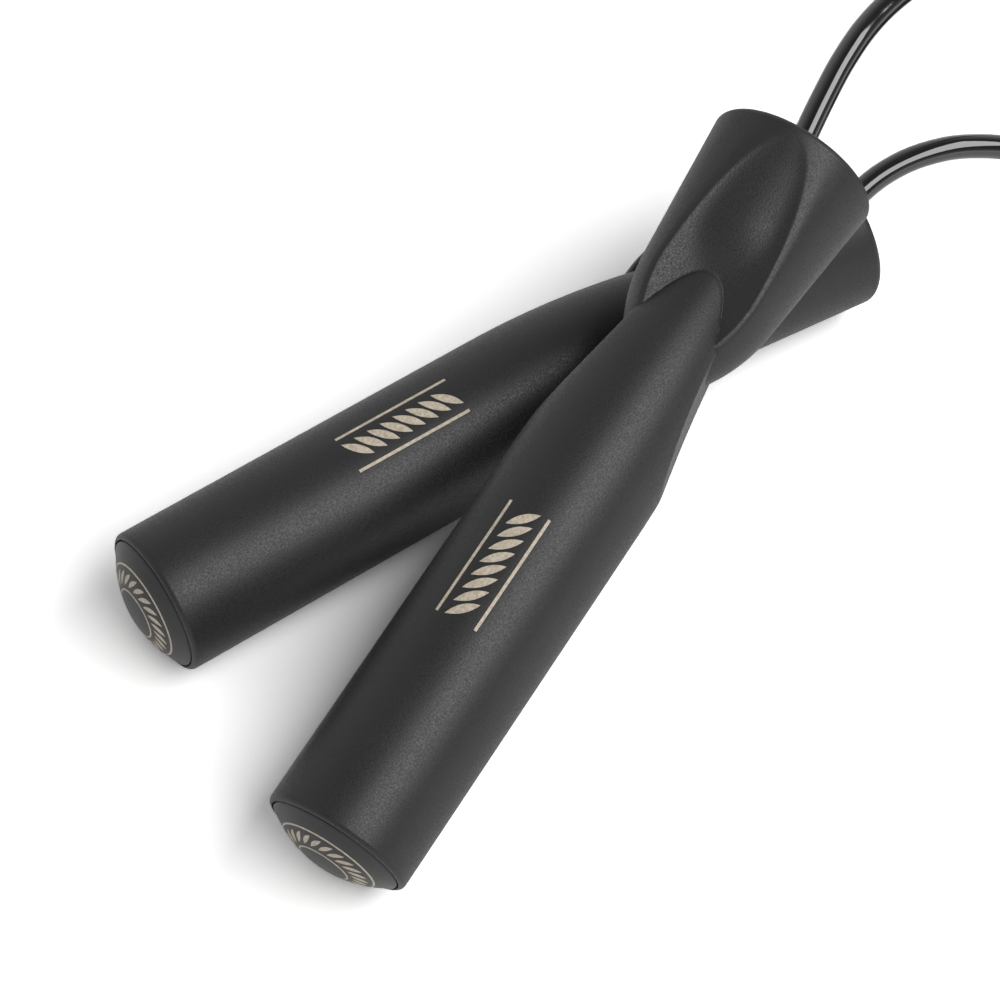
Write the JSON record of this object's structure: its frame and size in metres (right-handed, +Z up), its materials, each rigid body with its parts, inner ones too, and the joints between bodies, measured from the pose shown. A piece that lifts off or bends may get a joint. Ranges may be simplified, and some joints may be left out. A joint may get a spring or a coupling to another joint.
{
  "type": "jump rope",
  "caption": "Jump rope with moulded black handles crossed at their heads, ball bearing swivels and a round glossy cord, its spare length coiled and strapped.",
  "frame": {"origin": "under the middle of the two handles' box, on the surface that they lie on", "axes": "+X along the bisector of the two handles, from the rear caps to the heads; +Z up"},
  "size_m": [0.3173, 0.117, 0.0669],
  "materials": {
    "handle_plastic": "matte black moulded plastic with a fine grain",
    "cap_plastic": "satin black moulded plastic",
    "bearing_steel": "ground bearing steel",
    "nylon": "natural nylon",
    "plated_steel": "zinc plated",
    "cord_pvc": "glossy extruded black PVC",
    "strap": "woven hook and loop strap"
  },
  "bodies": {
    "rope": {"upper_cord_run": "cord_pvc", "lower_cord_run": "cord_pvc", "cord_coil": "cord_pvc", "coil_tie": "strap", "upper_bearing_inner_ring": "bearing_steel", "upper_cord_bush": "nylon", "upper_cord_washer": "plated_steel", "upper_cord_stop": "plated_steel", "lower_bearing_inner_ring": "bearing_steel", "lower_cord_bush": "nylon", "lower_cord_washer": "plated_steel", "lower_cord_stop": "plated_steel"},
    "upper_handle": {"upper_handle_shell": "handle_plastic", "upper_end_cap": "cap_plastic", "upper_head_cap": "cap_plastic", "upper_bearing_outer_ring": "bearing_steel"},
    "lower_handle": {"lower_handle_shell": "handle_plastic", "lower_end_cap": "cap_plastic", "lower_head_cap": "cap_plastic", "lower_bearing_outer_ring": "bearing_steel"},
    "upper_ball_set": {"upper_bearing_cage": "nylon", "upper_bearing_ball_1": "bearing_steel", "upper_bearing_ball_2": "bearing_steel", "upper_bearing_ball_3": "bearing_steel", "upper_bearing_ball_4": "bearing_steel", "upper_bearing_ball_5": "bearing_steel", "upper_bearing_ball_6": "bearing_steel", "upper_bearing_ball_7": "bearing_steel"},
    "lower_ball_set": {"lower_bearing_cage": "nylon", "lower_bearing_ball_1": "bearing_steel", "lower_bearing_ball_2": "bearing_steel", "lower_bearing_ball_3": "bearing_steel", "lower_bearing_ball_4": "bearing_steel", "lower_bearing_ball_5": "bearing_steel", "lower_bearing_ball_6": "bearing_steel", "lower_bearing_ball_7": "bearing_steel"}
  },
  "joints": [
    {"name": "upper_handle_spin", "type": "hinge", "parent": "rope", "child": "upper_handle", "pos_m": [-0.08391, -0.03092, 0.01392], "axis": [0.9566, 0.1811, 0.2284], "continuous": true},
    {"name": "lower_handle_spin", "type": "hinge", "parent": "rope", "child": "lower_handle", "pos_m": [-0.07107, 0.03096, 0.01448], "axis": [0.9816, -0.1904, 0.0169], "continuous": true},
    {"name": "upper_ball_set_orbit", "type": "hinge", "parent": "rope", "child": "upper_ball_set", "pos_m": [-0.08391, -0.03092, 0.01392], "axis": [0.9566, 0.1811, 0.2284], "continuous": true},
    {"name": "lower_ball_set_orbit", "type": "hinge", "parent": "rope", "child": "lower_ball_set", "pos_m": [-0.07107, 0.03096, 0.01448], "axis": [0.9816, -0.1904, 0.0169], "continuous": true}
  ],
  "couplings": [
    {"joint": "upper_ball_set_orbit", "follows": "upper_handle_spin", "ratio": 0.6323},
    {"joint": "lower_ball_set_orbit", "follows": "lower_handle_spin", "ratio": 0.6323}
  ]
}
